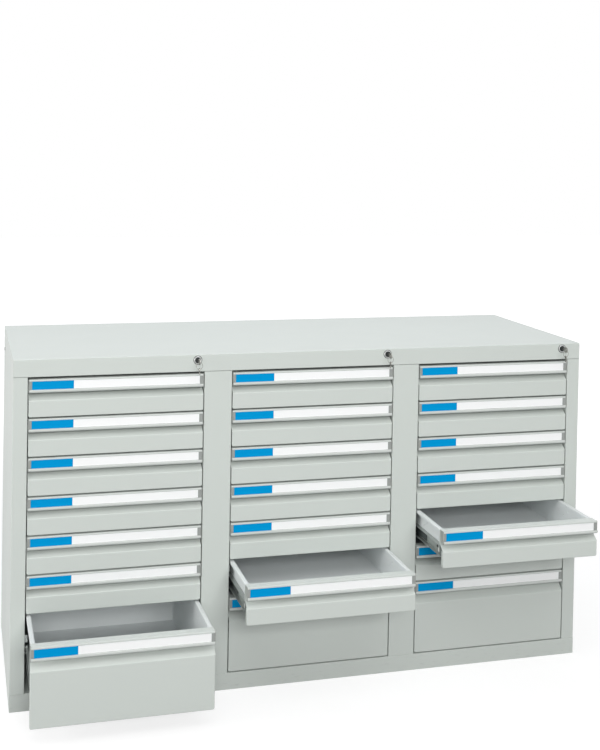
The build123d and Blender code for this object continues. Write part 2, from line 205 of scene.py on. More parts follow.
# A dark ring under the rosette, as radius and Y: painted shade round the rosette and inside it
painted_shade_ring_profile = (
    (0.0061, -0.0003),
    (0.0061, -0.0012),
    (0.0070, -0.0020),
    (0.0070, -0.0006),
    (collar_radius + 0.0010, -0.0006),
    (collar_radius + 0.0011, -0.0001),
    (0.0070, -0.0001),
    (0.0061, -0.0003),
)
core_profile = (
    (0.0, -core_proud + 0.0004),
    (0.0040, -core_proud + 0.0004),
    (0.0044, -core_proud),
    (0.0054, -core_proud),
    (core_radius, -core_proud + 0.0004),
    (core_radius, 0.022),
    (0.0, 0.022),
)
key_thickness = 0.0022
key_shank = 0.006
key_shank_length = 0.012
key_bow = 0.017
key_hole = 0.0032
key_hole_sides = 16
bow_points = 13
bow_step = 0.23
bow_flatness = 0.92
hole_cover_share = 0.94
ring_radius = 0.0085
ring_wire = 0.0006
ring_play = 0.0003
ring_turn = radians(14)
ring_sides = 10
ring_steps = 48
spare_bow = 0.0105
spare_shank = 0.0042
spare_hole = 0.002
spare_foot = 0.0325

# Black plugs in the side panels
side_plug_y = 0.235
side_plug_z = 0.792
side_plug_steps = 24
side_plug_profile = (
    (0.0, -0.0012),
    (0.0035, -0.0011),
    (0.0046, -0.0007),
    (0.0050, 0.0),
    (0.0040, 0.0),
    (0.0040, 0.006),
    (0.0, 0.006),
)


# Materials: shared effects as node groups

# The middle of a noise's values, and the values between which a scuff begins to show
noise_middle = 0.5
scuff_edge = (0.56, 0.72)


def add_node(tree, kind, **settings):
    """A new node in a tree, with its properties set."""
    made = tree.nodes.new(kind)
    for name, value in settings.items():
        setattr(made, name, value)
    return made


def new_group(name, inputs, outputs):
    """An empty node group with named inputs (with defaults) and outputs."""
    group = bpy.data.node_groups.new(name, "ShaderNodeTree")
    for label, kind, value in inputs:
        made = group.interface.new_socket(name=label, in_out="INPUT", socket_type=kind)
        made.default_value = value
    for label, kind in outputs:
        group.interface.new_socket(name=label, in_out="OUTPUT", socket_type=kind)
    start = add_node(group, "NodeGroupInput")
    end = add_node(group, "NodeGroupOutput")
    return group, start, end


def object_noise(tree, detail, stretch=(1, 1, 1)):
    """A noise texture on the object's own coordinates, in metres, stretched along its axes."""
    place = add_node(tree, "ShaderNodeTexCoord")
    mapping = add_node(tree, "ShaderNodeMapping")
    mapping.inputs["Scale"].default_value = stretch
    noise = add_node(tree, "ShaderNodeTexNoise")
    noise.inputs["Detail"].default_value = detail
    tree.links.new(place.outputs["Object"], mapping.inputs["Vector"])
    tree.links.new(mapping.outputs["Vector"], noise.inputs["Vector"])
    return noise


def mottle_group():
    """Colour that drifts a little over a large area and carries a fine speckle."""
    group, start, end = new_group(
        "Coat mottle",
        [
            ("Color", "NodeSocketColor", (0.6, 0.6, 0.6, 1)),
            ("Drift", "NodeSocketFloat", 0.03),
            ("Drift Scale", "NodeSocketFloat", 3.0),
            ("Speckle", "NodeSocketFloat", 0.02),
            ("Speckle Scale", "NodeSocketFloat", 900.0),
        ],
        [("Color", "NodeSocketColor")],
    )
    links = group.links
    value = None
    for amount, scale, detail in (("Drift", "Drift Scale", 4), ("Speckle", "Speckle Scale", 2)):
        noise = object_noise(group, detail)
        links.new(start.outputs[scale], noise.inputs["Scale"])
        centred = add_node(group, "ShaderNodeMath", operation="SUBTRACT")
        centred.inputs[1].default_value = noise_middle
        links.new(noise.outputs["Fac"], centred.inputs[0])
        scaled = add_node(group, "ShaderNodeMath", operation="MULTIPLY")
        links.new(centred.outputs[0], scaled.inputs[0])
        links.new(start.outputs[amount], scaled.inputs[1])
        if value is None:
            value = scaled
        else:
            total = add_node(group, "ShaderNodeMath", operation="ADD")
            links.new(value.outputs[0], total.inputs[0])
            links.new(scaled.outputs[0], total.inputs[1])
            value = total
    bright = add_node(group, "ShaderNodeMath", operation="ADD")
    bright.inputs[1].default_value = 1.0
    links.new(value.outputs[0], bright.inputs[0])
    tint = add_node(group, "ShaderNodeVectorMath", operation="SCALE")
    links.new(start.outputs["Color"], tint.inputs[0])
    links.new(bright.outputs[0], tint.inputs["Scale"])
    links.new(tint.outputs[0], end.inputs["Color"])
    return group


def gloss_group():
    """Roughness that varies in soft patches, as handled and dusty surfaces do."""
    group, start, end = new_group(
        "Gloss patches",
        [
            ("Roughness", "NodeSocketFloat", 0.4),
            ("Spread", "NodeSocketFloat", 0.1),
            ("Scale", "NodeSocketFloat", 12.0),
        ],
        [("Roughness", "NodeSocketFloat")],
    )
    noise = object_noise(group, detail=5)
    group.links.new(start.outputs["Scale"], noise.inputs["Scale"])
    centred = add_node(group, "ShaderNodeMath", operation="SUBTRACT")
    centred.inputs[1].default_value = noise_middle
    group.links.new(noise.outputs["Fac"], centred.inputs[0])
    spread = add_node(group, "ShaderNodeMath", operation="MULTIPLY_ADD")
    group.links.new(centred.outputs[0], spread.inputs[0])
    group.links.new(start.outputs["Spread"], spread.inputs[1])
    group.links.new(start.outputs["Roughness"], spread.inputs[2])
    group.links.new(spread.outputs[0], end.inputs["Roughness"])
    return group


def peel_group():
    """The fine orange peel of a powder coat, as a height."""
    group, start, end = new_group(
        "Orange peel",
        [("Scale", "NodeSocketFloat", 650.0)],
        [("Height", "NodeSocketFloat")],
    )
    grain = object_noise(group, detail=1)
    group.links.new(start.outputs["Scale"], grain.inputs["Scale"])
    group.links.new(grain.outputs["Fac"], end.inputs["Height"])
    return group


def rolled_group():
    """Fine lines along Y, as rolled sheet shows."""
    group, start, end = new_group(
        "Rolled lines",
        [("Scale", "NodeSocketFloat", 1.0)],
        [("Lines", "NodeSocketFloat")],
    )
    lines = object_noise(group, detail=3, stretch=(900, 14, 900))
    group.links.new(start.outputs["Scale"], lines.inputs["Scale"])
    group.links.new(lines.outputs["Fac"], end.inputs["Lines"])
    return group


def scuff_group():
    """A mask of short scuffs that fades out above a height, for what stands near the floor."""
    group, start, end = new_group(
        "Floor scuffs",
        [
            ("Height", "NodeSocketFloat", 0.06),
            ("Scale", "NodeSocketFloat", 40.0),
        ],
        [("Mask", "NodeSocketFloat")],
    )
    noise = object_noise(group, detail=6, stretch=(1, 1, 4))
    group.links.new(start.outputs["Scale"], noise.inputs["Scale"])
    sharp = add_node(group, "ShaderNodeMapRange", interpolation_type="SMOOTHSTEP")
    sharp.inputs["From Min"].default_value = scuff_edge[0]
    sharp.inputs["From Max"].default_value = scuff_edge[1]
    group.links.new(noise.outputs["Fac"], sharp.inputs["Value"])
    place = add_node(group, "ShaderNodeTexCoord")
    split = add_node(group, "ShaderNodeSeparateXYZ")
    group.links.new(place.outputs["Object"], split.inputs[0])
    fade = add_node(group, "ShaderNodeMapRange", interpolation_type="SMOOTHSTEP")
    fade.inputs["To Min"].default_value = 1.0
    fade.inputs["To Max"].default_value = 0.0
    group.links.new(split.outputs["Z"], fade.inputs["Value"])
    group.links.new(start.outputs["Height"], fade.inputs["From Max"])
    mask = add_node(group, "ShaderNodeMath", operation="MULTIPLY")
    group.links.new(sharp.outputs[0], mask.inputs[0])
    group.links.new(fade.outputs[0], mask.inputs[1])
    group.links.new(mask.outputs[0], end.inputs["Mask"])
    return group


mottle = mottle_group()
gloss = gloss_group()
peel = peel_group()
rolled = rolled_group()
scuffs = scuff_group()


def srgb(red, green, blue):
    """A colour as it shows on screen, 0 to 255, for a shader's colour socket."""
    def linear(level):
        level /= 255
        return level / 12.92 if level <= 0.04045 else ((level + 0.055) / 1.055) ** 2.4

    return (linear(red), linear(green), linear(blue), 1)


def place_group(tree, group, **values):
    """A node group placed in a material, with its inputs set by name."""
    made = add_node(tree, "ShaderNodeGroup", node_tree=group)
    for name, value in values.items():
        made.inputs[name.replace("_", " ")].default_value = value
    return made


def base_material(name, color, drift, speckle, roughness, spread, **shader):
    """A shader whose colour and roughness vary by the shared groups. Returns material and nodes."""
    material = bpy.data.materials.new(name)
    material.use_nodes = True
    tree = material.node_tree
    principled = tree.nodes["Principled BSDF"]
    for socket, value in shader.items():
        principled.inputs[socket.replace("_", " ")].default_value = value
    tint = place_group(tree, mottle, Color=color, Drift=drift, Speckle=speckle)
    tree.links.new(tint.outputs["Color"], principled.inputs["Base Color"])
    patches = place_group(tree, gloss, Roughness=roughness, Spread=spread)
    tree.links.new(patches.outputs["Roughness"], principled.inputs["Roughness"])
    return material, tree, principled, tint


def add_bump(tree, principled, height, strength, distance):
    """Feeds a height into the shader's normal."""
    bump = add_node(tree, "ShaderNodeBump")
    bump.inputs["Strength"].default_value = strength
    bump.inputs["Distance"].default_value = distance
    tree.links.new(height, bump.inputs["Height"])
    tree.links.new(bump.outputs["Normal"], principled.inputs["Normal"])


def powder_coat(name, color, roughness=0.42, grain=650.0, floor_wear=0.0):
    """Powder-coated sheet: orange peel, faint mottle and, near the floor, dull scuffs."""
    material, tree, principled, tint = base_material(
        name, color, drift=0.035, speckle=0.03, roughness=roughness, spread=0.12,
        Specular_IOR_Level=0.45,
    )
    skin = place_group(tree, peel, Scale=grain)
    add_bump(tree, principled, skin.outputs["Height"], strength=0.22, distance=0.0004)
    if floor_wear:
        mask = place_group(tree, scuffs)
        dull = add_node(tree, "ShaderNodeMath", operation="MULTIPLY")
        dull.inputs[1].default_value = floor_wear
        tree.links.new(mask.outputs["Mask"], dull.inputs[0])
        mix = add_node(tree, "ShaderNodeMix", data_type="RGBA")
        mix.inputs["B"].default_value = scuff_color
        tree.links.new(dull.outputs[0], mix.inputs["Factor"])
        tree.links.new(tint.outputs["Color"], mix.inputs["A"])
        tree.links.new(mix.outputs["Result"], principled.inputs["Base Color"])
    return material


def plated_steel(name, color, roughness, lines=0.3, metallic=1.0):
    """Plated or bare steel, with rolled lines as a faint relief."""
    material, tree, principled, _ = base_material(
        name, color, drift=0.10, speckle=0.05, roughness=roughness, spread=0.18, Metallic=metallic
    )
    marks = place_group(tree, rolled)
    add_bump(tree, principled, marks.outputs["Lines"], strength=lines, distance=0.0002)
    return material


def moulded_plastic(name, color, roughness=0.45, grain=1400.0, drift=0.02, **shader):
    """Plastic or card with a fine even grain."""
    material, tree, principled, _ = base_material(
        name, color, drift=drift, speckle=0.015, roughness=roughness, spread=0.08, **shader
    )
    skin = place_group(tree, peel, Scale=grain)
    add_bump(tree, principled, skin.outputs["Height"], strength=0.10, distance=0.0002)
    return material


scuff_color = srgb(126, 128, 124)
coat_color = srgb(206, 212, 207)
coat = powder_coat("Grey powder coat", coat_color)
coat_floor = powder_coat("Grey powder coat near the floor", coat_color, floor_wear=0.15)
# The trays' grey coat, lighter than the cabinet's: painted light that brightens the insides of the
# trays
painted_light_tray_coat = powder_coat("Grey tray coat, painted lighter", srgb(228, 232, 232), roughness=0.48)
strip_coat = powder_coat("Grip strip coat", srgb(212, 217, 213), roughness=0.40, grain=900.0)
zinc = plated_steel("Zinc plate", srgb(186, 190, 188), 0.38)
# A dark grey for the ball cages
cage_steel = plated_steel("Dark cage steel", srgb(66, 72, 72), 0.42, metallic=0.4)
bright_plate = plated_steel("Bright lock plate", srgb(196, 198, 197), 0.30, lines=0.06)
# Dark grey of the lock core and of the ring under the rosette: partly the core's own colour, partly
# painted shade and painted dark reflection
dark_core_and_painted_shade = moulded_plastic("Dark lock core and painted shade", srgb(42, 47, 47), roughness=0.38)
key_steel = plated_steel("Key steel", srgb(150, 150, 145), 0.36, lines=0.10)
bar_steel = plated_steel("Cold-rolled bar", srgb(138, 138, 136), 0.45)
card = moulded_plastic("White label card", srgb(250, 251, 251), roughness=0.42, drift=0.01)
blue = moulded_plastic(
    "Blue label plate", srgb(0, 152, 215), roughness=0.45, Specular_IOR_Level=0.04
)
cap_grey = moulded_plastic("Grey end cap", srgb(152, 156, 153), roughness=0.5)
cap_plastic = moulded_plastic("End cap plate", srgb(172, 175, 171), roughness=0.45)
# Black plastic of the side panels' plugs, also used as the painted shade of the holes in the
# runners' webs
black_plug_and_hole_shade = moulded_plastic("Black plug and painted hole shade", srgb(34, 34, 35), roughness=0.5)
white_stop = moulded_plastic("White end stop", srgb(232, 232, 226), roughness=0.5)


# Meshes


def shift(bm, made, along):
    """Moves the points among what an operation has made."""
    points = [item for item in made if isinstance(item, bmesh.types.BMVert)]
    bmesh.ops.translate(bm, verts=points, vec=along)


def swept_sheet(path, along):
    """An open sheet: a path of points swept along a straight line."""
    bm = bmesh.new()
    corners = [bm.verts.new(point) for point in path]
    edges = [bm.edges.new(pair) for pair in zip(corners, corners[1:])]
    shift(bm, bmesh.ops.extrude_edge_only(bm, edges=edges)["geom"], along)
    return bm


def swept_solid(outline, along):
    """A closed solid: an outline of points swept along a straight line."""
    bm = bmesh.new()
    face = bm.faces.new([bm.verts.new(point) for point in outline])
    shift(bm, bmesh.ops.extrude_face_region(bm, geom=[face])["geom"], along)
    bmesh.ops.recalc_face_normals(bm, faces=bm.faces)
    return bm


def spin_round(bm, made, steps):
    """Spins points and edges once round the Y axis."""
    bmesh.ops.spin(
        bm, geom=made, cent=(0, 0, 0), axis=(0, 1, 0), angle=2 * pi, steps=steps, use_merge=True
    )
    bmesh.ops.remove_doubles(bm, verts=bm.verts, dist=tolerance)
    bmesh.ops.recalc_face_normals(bm, faces=bm.faces)


def turned(profile, steps=32):
    """A solid of revolution about Y, from points given as radius and Y."""
    bm = bmesh.new()
    verts = [bm.verts.new((radius, y, 0)) for radius, y in profile]
    edges = [bm.edges.new(pair) for pair in zip(verts, verts[1:])]
    spin_round(bm, verts + edges, steps)
    return bm


def block(low, high, bevel):
    """A solid block between two corners, with its edges broken."""
    bm = bmesh.new()
    bmesh.ops.create_cube(bm, size=1)
    size = Vector(high) - Vector(low)
    bmesh.ops.scale(bm, vec=size, verts=bm.verts)
    bmesh.ops.translate(bm, vec=(Vector(low) + Vector(high)) / 2, verts=bm.verts)
    round_edges(bm, bm.edges, bevel, bevel_segments)
    return bm


def round_edges(bm, edges, radius, segments=fold_segments):
    """Rounds edges to a radius."""
    bmesh.ops.bevel(
        bm,
        geom=list(edges),
        offset=radius,
        offset_type="OFFSET",
        affect="EDGES",
        segments=segments,
        profile=0.5,
        material=-1,
        clamp_overlap=True,
    )


def turning(bm, least_angle):
    """The edges between two faces that turn by more than an angle."""
    inner = [edge for edge in bm.edges if len(edge.link_faces) == 2]
    return [edge for edge in inner if edge.calc_face_angle(0) > least_angle]


def folds(bm, axis):
    """The edges along an axis at which a sheet turns."""
    found = []
    for edge in turning(bm, fold_angle):
        direction = edge.verts[1].co - edge.verts[0].co
        if abs(direction.normalized()[axis]) > straight_share:
            found.append(edge)
    return found


def edges_at(bm, y, z):
    """The edges along X that lie at a place in the Y-Z plane."""
    def there(vert):
        return abs(vert.co.y - y) < tolerance and abs(vert.co.z - z) < tolerance

    return [edge for edge in bm.edges if all(there(vert) for vert in edge.verts)]


def thicken(bm, thickness):
    """Gives an open sheet its wall, on the side that its faces turn their backs to."""
    bmesh.ops.solidify(bm, geom=bm.faces[:], thickness=thickness)
    bmesh.ops.recalc_face_normals(bm, faces=bm.faces)


def round_holes(bm, wall, holes):
    """Cuts round holes, given as Y, Z and radius, in the upright walls at both sides of a sheet."""
    for y, z, radius in holes:
        cuts = (
            ((0, y - radius, 0), (0, 1, 0)),
            ((0, y + radius, 0), (0, 1, 0)),
            ((0, 0, z - radius), (0, 0, 1)),
            ((0, 0, z + radius), (0, 0, 1)),
        )
        for point, normal in cuts:
            bmesh.ops.bisect_plane(
                bm,
                geom=bm.verts[:] + bm.edges[:] + bm.faces[:],
                plane_co=point,
                plane_no=normal,
                dist=tolerance,
            )
        squares = []
        for face in bm.faces:
            centre = face.calc_center_median()
            inside = abs(centre.y - y) < radius / 2 and abs(centre.z - z) < radius / 2
            if inside and abs(abs(centre.x) - wall) < weld_distance:
                squares.append(face)
        for face in squares:
            bmesh.ops.subdivide_edges(bm, edges=list(face.edges), cuts=hole_cuts)
            centre = face.calc_center_median()
            bmesh.ops.inset_region(
                bm, faces=[face], thickness=radius * hole_inset_share, use_even_offset=True
            )
            for vert in face.verts:
                vert.co = centre + (vert.co - centre).normalized() * radius
        bmesh.ops.delete(bm, geom=squares, context="FACES")


def mirrored(bm):
    """Adds the mirror image in X of everything so far."""
    copied = bmesh.ops.duplicate(bm, geom=bm.verts[:] + bm.edges[:] + bm.faces[:])["geom"]
    verts = [item for item in copied if isinstance(item, bmesh.types.BMVert)]
    faces = [item for item in copied if isinstance(item, bmesh.types.BMFace)]
    bmesh.ops.scale(bm, vec=(-1, 1, 1), verts=verts)
    bmesh.ops.reverse_faces(bm, faces=faces)


def join(meshes):
    """One bmesh that holds several."""
    whole = bmesh.new()
    for bm in meshes:
        part = bpy.data.meshes.new("part")
        bm.to_mesh(part)
        bm.free()
        whole.from_mesh(part)
        bpy.data.meshes.remove(part)
    return whole


def to_mesh(bm, name, material, smooth=False):
    """The finished mesh of a piece, in its own frame."""
    mesh = bpy.data.meshes.new(name)
    bm.to_mesh(mesh)
    bm.free()
    mesh.materials.append(material)
    if smooth:
        mesh.shade_smooth()
        mesh.set_sharp_from_angle(angle=sharp_angle)
    return mesh


def put(mesh, name, body, place, replaced=()):
    """Puts a piece in the scene: a copy of the mesh moved to its place, riding on its body."""
    own = mesh.copy()
    own.transform(Matrix.Translation(place))
    piece = bpy.data.objects.new(name, own)
    bpy.context.scene.collection.objects.link(piece)
    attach(piece, body)
    if replaced:
        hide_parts(*replaced)


# Drawer pieces, with X from the middle, Y from the front plane and Z from the top of the drawer


def front_mesh(units, height):
    """The pressed front: grip recess, slope and flat face, with a fold round its foot and sides."""
    foot = slope_foot[units]
    path = [
        (-front_half, recess_depth, -strip_plate),
        (-front_half, recess_depth, -recess_height),
        (-front_half, 0, -foot),
        (-front_half, 0, -height),
    ]
    bm = swept_sheet(path, (2 * front_half, 0, 0))
    bmesh.ops.bevel(
        bm,
        geom=[vert for vert in bm.verts if vert.co.z < -height + tolerance],
        offset=front_corner,
        offset_type="OFFSET",
        affect="VERTICES",
        segments=fold_segments,
        profile=0.5,
        material=-1,
    )
    border = [
        edge
        for edge in bm.edges
        if len(edge.link_faces) == 1
        and all(abs(vert.co.y) < tolerance and vert.co.z < -foot + tolerance for vert in edge.verts)
    ]
    shift(bm, bmesh.ops.extrude_edge_only(bm, edges=border)["geom"], (0, front_flange, 0))
    bmesh.ops.remove_doubles(bm, verts=bm.verts, dist=weld_distance)
    bmesh.ops.recalc_face_normals(bm, faces=bm.faces)
    if sum(face.normal.y * face.calc_area() for face in bm.faces) > 0:
        bmesh.ops.reverse_faces(bm, faces=bm.faces)
    round_edges(bm, turning(bm, bend_angle), front_bend)
    thicken(bm, front_sheet)
    return to_mesh(bm, "front", coat)


def tray_mesh(units, height, length):
    """The folded pan with hemmed sides, its end panels and the cheeks that reach to the front."""
    floor = -(height - floor_rise)
    rim = -rim_drop
    hem = tray_half + hem_width
    path = [
        (-hem - tray_sheet, strip_depth, rim - hem_drop),
        (-hem - tray_sheet, strip_depth, rim),
        (-tray_half, strip_depth, rim),
        (-tray_half, strip_depth, floor),
        (tray_half, strip_depth, floor),
        (tray_half, strip_depth, rim),
        (hem + tray_sheet, strip_depth, rim),
        (hem + tray_sheet, strip_depth, rim - hem_drop),
    ]
    pan = swept_sheet(path, (0, length, 0))
    holes = [(behind, -below, wall_hole) for behind, below in wall_holes[units]]
    round_holes(pan, tray_half, holes)
    round_edges(pan, folds(pan, 1), tray_bend, edge_segments)
    bmesh.ops.recalc_face_normals(pan, faces=pan.faces)
    thicken(pan, tray_sheet)
    pieces = [pan]
    for y, turn in ((strip_depth - tray_sheet, 1), (strip_depth + length + tray_sheet, -1)):
        inner = tray_half - tray_sheet - panel_gap
        wall = [
            (-inner, y + turn * panel_flange, floor + tray_sheet),
            (-inner, y, floor + tray_sheet),
            (inner, y, floor + tray_sheet),
            (inner, y + turn * panel_flange, floor + tray_sheet),
        ]
        panel = swept_sheet(wall, (0, 0, rim - panel_drop - floor - tray_sheet))
        round_edges(panel, folds(panel, 2), tray_bend, edge_segments)
        bmesh.ops.recalc_face_normals(panel, faces=panel.faces)
        thicken(panel, tray_sheet)
        pieces.append(panel)
    cheek_top = -recess_height - cheek_drop
    cheek = swept_solid(
        [
            (tray_half - tray_sheet, strip_depth, cheek_top),
            (tray_half - tray_sheet, strip_depth, floor + tray_bend),
            (tray_half - tray_sheet, cheek_gap, floor + tray_bend),
            (tray_half - tray_sheet, cheek_gap, -slope_foot[units] - cheek_gap),
            (tray_half - tray_sheet, recess_depth, cheek_top),
        ],
        (tray_sheet, 0, 0),
    )
    mirrored(cheek)
    return to_mesh(join(pieces + [cheek]), "tray", painted_light_tray_coat)


def runner_mesh(centre, length):
    """A drawer's two runners: channels with beaded flanges, punched webs and closed front ends."""
    half = slide_height / 2
    web = tray_half
    outer = tray_half + slide_reach
    path = [
        (outer, strip_depth, centre + half),
        (web, strip_depth, centre + half),
        (web, strip_depth, centre - half),
        (outer, strip_depth, centre - half),
    ]
    channel = swept_sheet(path, (0, length, 0))
    first_hole = strip_depth + hole_start
    count = int((length - hole_margin) / hole_pitch) + 1
    holes = [(first_hole + hole_pitch * step, centre, runner_hole) for step in range(count)]
    round_holes(channel, web, holes)
    round_edges(channel, folds(channel, 1), runner_bead, edge_segments)
    bmesh.ops.recalc_face_normals(channel, faces=channel.faces)
    thicken(channel, slide_sheet)
    end = swept_solid(
        [
            (web + slide_sheet, strip_depth, centre - half),
            (outer, strip_depth, centre - half),
            (outer, strip_depth, centre + half),
            (web + slide_sheet, strip_depth, centre + half),
        ],
        (0, slide_sheet, 0),
    )
    rounded = [edge for edge in folds(end, 1) if edge.verts[0].co.x > outer - tolerance]
    round_edges(end, rounded, end_plate_round)
    bm = join([channel, end])
    mirrored(bm)
    return to_mesh(bm, "runners", zinc)


def stop_mesh(centre):
    """The white stops behind the closed front ends of both runners."""
    web = tray_half + slide_sheet
    start = strip_depth + slide_sheet + stop_gap
    bm = block(
        (web + stop_seat, start, centre - stop_half_height),
        (tray_half + slide_reach - stop_gap, start + stop_length, centre + stop_half_height),
        stop_round,
    )
    mirrored(bm)
    return to_mesh(bm, "stops", white_stop)


def runner_hole_shade_mesh(centre):
    """Black discs in the webs of both runners, behind the stops: painted shade of the holes there.
    """
    bm = turned(hole_shade_profile, hole_shade_steps)
    bmesh.ops.rotate(bm, verts=bm.verts, matrix=Matrix.Rotation(-pi / 2, 3, "Z"))
    bmesh.ops.translate(bm, vec=(tray_half + slide_sheet, hole_shade_place, centre), verts=bm.verts)
    mirrored(bm)
    return to_mesh(bm, "runner_hole_shades", black_plug_and_hole_shade, smooth=True)


def cage_mesh(centre):
    """The ball cages in both runners: a strip with its edges broken and two rows of balls."""
    web = tray_half + slide_sheet
    strip = block(
        (web + cage_back, cage_start, centre - cage_half_height),
        (web + cage_face, cage_start + cage_length, centre + cage_half_height),
        cage_bevel,
    )
    parts = [strip]
    for step in range(ball_count):
        along = cage_start + ball_start + ball_pitch * step
        for side in (-1, 1):
            ball = bmesh.new()
            bmesh.ops.create_uvsphere(
                ball, u_segments=ball_sides, v_segments=ball_rings, radius=ball_radius
            )
            spot = (web + cage_face, along, centre + side * ball_row)
            bmesh.ops.translate(ball, vec=spot, verts=ball.verts)
            parts.append(ball)
    bm = join(parts)
    mirrored(bm)
    return to_mesh(bm, "cages", cage_steel)


def strip_mesh():
    """The grip strip: top plate with a groove, rim, label slot and rounded lip."""
    lip_top = rim_height + label_height
    lip_bottom = lip_top + lip_height
    left = -front_half + cap_plate
    profile = [
        (0, 0),
        (groove_place, 0),
        (groove_place, -groove_depth),
        (groove_place + groove_width, -groove_depth),
        (groove_place + groove_width, 0),
        (strip_depth, 0),
        (strip_depth, -strip_plate),
        (slot_depth + strip_web, -strip_plate),
        (slot_depth + strip_web, -lip_bottom),
        (-lip_proud, -lip_bottom),
        (-lip_proud, -lip_top),
        (slot_depth, -lip_top),
        (slot_depth, -rim_height),
        (0, -rim_height),
    ]
    bm = swept_solid([(left, y, z) for y, z in profile], (-2 * left, 0, 0))
    round_edges(bm, edges_at(bm, 0, 0) + edges_at(bm, 0, -rim_height), rim_round, edge_segments)
    round_edges(bm, edges_at(bm, -lip_proud, -lip_bottom), lip_round, lip_segments)
    round_edges(bm, edges_at(bm, -lip_proud, -lip_top), lip_edge, edge_segments)
    return to_mesh(bm, "strip", strip_coat)


def label_meshes():
    """The white card and the blue plate in the strip's slot."""
    top = -rim_height - label_play
    bottom = -rim_height - label_height + label_play
    left = -front_half + cap_plate + left_plug
    right = front_half - cap_plate - right_plug
    split = left + colour_plate_length
    face = slot_depth - label_thickness
    back = slot_depth - face_step
    white = block((split + label_seam, face, bottom), (right - label_seam, back, top), label_bevel)
    colour = block((left + label_seam, face - face_step, bottom), (split, back, top), label_bevel)
    return to_mesh(white, "card", card), to_mesh(colour, "colour_plate", blue)


def cap_meshes():
    """The grey plugs in both ends of the slot and the pale plates over the strip's ends."""
    lip_top = rim_height + label_height
    lip_bottom = lip_top + lip_height
    inner = front_half - cap_plate
    plugs = []
    ends = ((-inner + plug_seam, left_plug - inner), (inner - right_plug, inner - plug_seam))
    for low_x, high_x in ends:
        low = (low_x, face_step, -lip_top + plug_play)
        high = (high_x, slot_depth - face_step, -rim_height - plug_play)
        plugs.append(block(low, high, plug_bevel))
    profile = [
        (0, 0),
        (cap_depth, 0),
        (cap_depth, -lip_top),
        (slot_depth + strip_web, -lip_bottom),
        (-lip_proud, -lip_bottom),
        (-lip_proud, -lip_top),
        (0, -lip_top),
    ]
    outline = [(inner + face_step, y, z) for y, z in profile]
    plate = swept_solid(outline, (cap_plate - face_step, 0, 0))
    round_edges(plate, edges_at(plate, -lip_proud, -lip_bottom), lip_round, lip_segments)
    round_edges(plate, edges_at(plate, 0, 0), rim_round, edge_segments)
    round_edges(plate, turning(plate, corner_angle), cap_bevel, bevel_segments)
    mirrored(plate)
    return to_mesh(join(plugs), "cap_plugs", cap_grey), to_mesh(plate, "cap_plates", cap_plastic)


def make_drawers():
    """All the drawers and their grip strips, each at the place of its own node."""
    kinds = {}
    strip = strip_mesh()
    white, colour = label_meshes()
    plugs, plates = cap_meshes()
    for bay in bays:
        for number, units in enumerate(drawer_units, 1):
            name = f"{bay}_{number}"
            body = f"drawer_{name}"
            low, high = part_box(body)
            grip_low, grip_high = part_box(f"handle_{name}")
            place = ((low.x + high.x) / 2, grip_low.y + lip_proud, grip_high.z)
            if units not in kinds:
                height = grip_high.z - low.z
                length = high.y - place[1] - strip_depth - tray_sheet
                centre = -slide_centre_share[units] * height
                kinds[units] = {
                    "front": (front_mesh(units, height), "painted_steel"),
                    "tray": (tray_mesh(units, height, length), "painted_steel"),
                    "runners": (runner_mesh(centre, length - runner_rear_gap), "zinc_steel"),
                    "stops": (stop_mesh(centre), "zinc_steel"),
                    "runner_hole_shades": (runner_hole_shade_mesh(centre), "zinc_steel"),
                    "cages": (cage_mesh(centre), "zinc_steel"),
                }
            for kind, (mesh, slot) in kinds[units].items():
                replaced = [f"drawer_{name}"] if kind == "front" else []
                put(mesh, f"{kind}_{name}", body, place, replaced)
            put(strip, f"strip_{name}", body, place, [f"handle_{name}"])
            put(white, f"label_card_{name}", body, place)
            put(colour, f"colour_plate_{name}", body, place)
            put(plugs, f"cap_plugs_{name}", body, place)
            put(plates, f"cap_plates_{name}", body, place)


def clip_mesh(spots):
    """The brackets above the front ends of the rails, screwed to both posts of a bay."""
    parts = []
    back, front = cabinet_front + clip_back, cabinet_front + clip_front
    for z in spots:
        low, high = z + clip_low, z + clip_high
        foot = opening_half - face_step
        plate = block((foot - clip_sheet, front, low), (foot, back, high), clip_bevel)
        tab_low = (foot - clip_reach, front, low + clip_step)
        tab = block(tab_low, (foot, front + clip_sheet, high), clip_tab_bevel)
        parts += [plate, tab]
        for height in (low + screw_inset, high - screw_inset):
            head = turned(screw_profile, screw_steps)
            bmesh.ops.rotate(head, verts=head.verts, matrix=Matrix.Rotation(pi / 2, 3, "Z"))
            spot = (foot - clip_sheet, (front + back) / 2 + screw_shift, height)
            bmesh.ops.translate(head, vec=spot, verts=head.verts)
            parts.append(head)
    bm = join(parts)
    mirrored(bm)
    return to_mesh(bm, "rail_clips", zinc)


def make_clips():
    """The rails' brackets of all the bays."""
    spots = []
    for number, units in enumerate(drawer_units, 1):
        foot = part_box(f"drawer_{bays[0]}_{number}")[0].z
        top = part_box(f"handle_{bays[0]}_{number}")[1].z
        spots.append(top - slide_centre_share[units] * (top - foot))
    mesh = clip_mesh(spots)
    for bay in bays:
        low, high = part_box(f"drawer_{bay}_1")
        put(mesh, f"rail_clips_{bay}", "cabinet", ((low.x + high.x) / 2, 0, 0))


# Locks, keys and key rings, with X and Z from the lock's axis and Y from the front plane


def collar_mesh():
    """The rosette of the lock, dished towards its core."""
    return to_mesh(turned(collar_profile), "collar", bright_plate, smooth=True)


def painted_shade_ring_mesh():
    """A dark ring under the rosette, painted shade, which shows round it and inside it."""
    return to_mesh(turned(painted_shade_ring_profile), "painted_shade_ring", dark_core_and_painted_shade, smooth=True)


